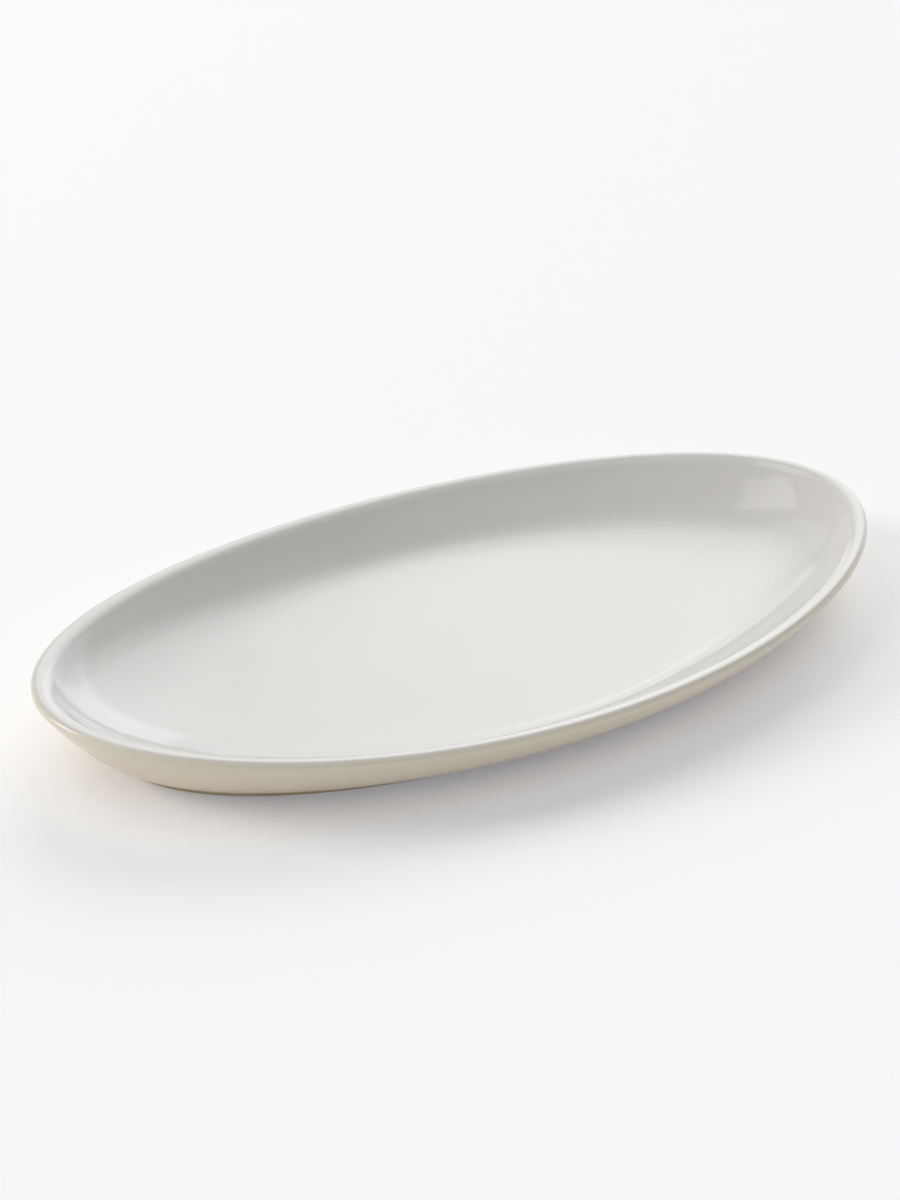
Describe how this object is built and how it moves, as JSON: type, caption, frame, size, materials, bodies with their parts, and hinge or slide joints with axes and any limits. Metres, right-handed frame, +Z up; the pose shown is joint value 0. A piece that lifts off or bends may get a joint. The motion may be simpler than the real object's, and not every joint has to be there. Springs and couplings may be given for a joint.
{
  "type": "oval serving platter",
  "caption": "Plain oval coupe serving platter in gloss-glazed stoneware, white inside and cream outside, with a raised curved rim higher at the ends and a low oval foot ring.",
  "frame": {"origin": "on the table, under the middle of the oval", "axes": "+X along the long axis of the oval, +Y along its short axis, +Z up out of the well"},
  "size_m": [0.38, 0.2116, 0.0344],
  "materials": {
    "bare_stoneware": "matte, fired and wiped bare",
    "white_glaze": "clear gloss white",
    "cream_glaze": "soft gloss cream"
  },
  "bodies": {
    "root": {"clay_body": "bare_stoneware", "foot_ring": "bare_stoneware", "inside_glaze": "white_glaze", "outside_glaze": "cream_glaze", "underside_glaze": "cream_glaze"}
  },
  "joints": []
}
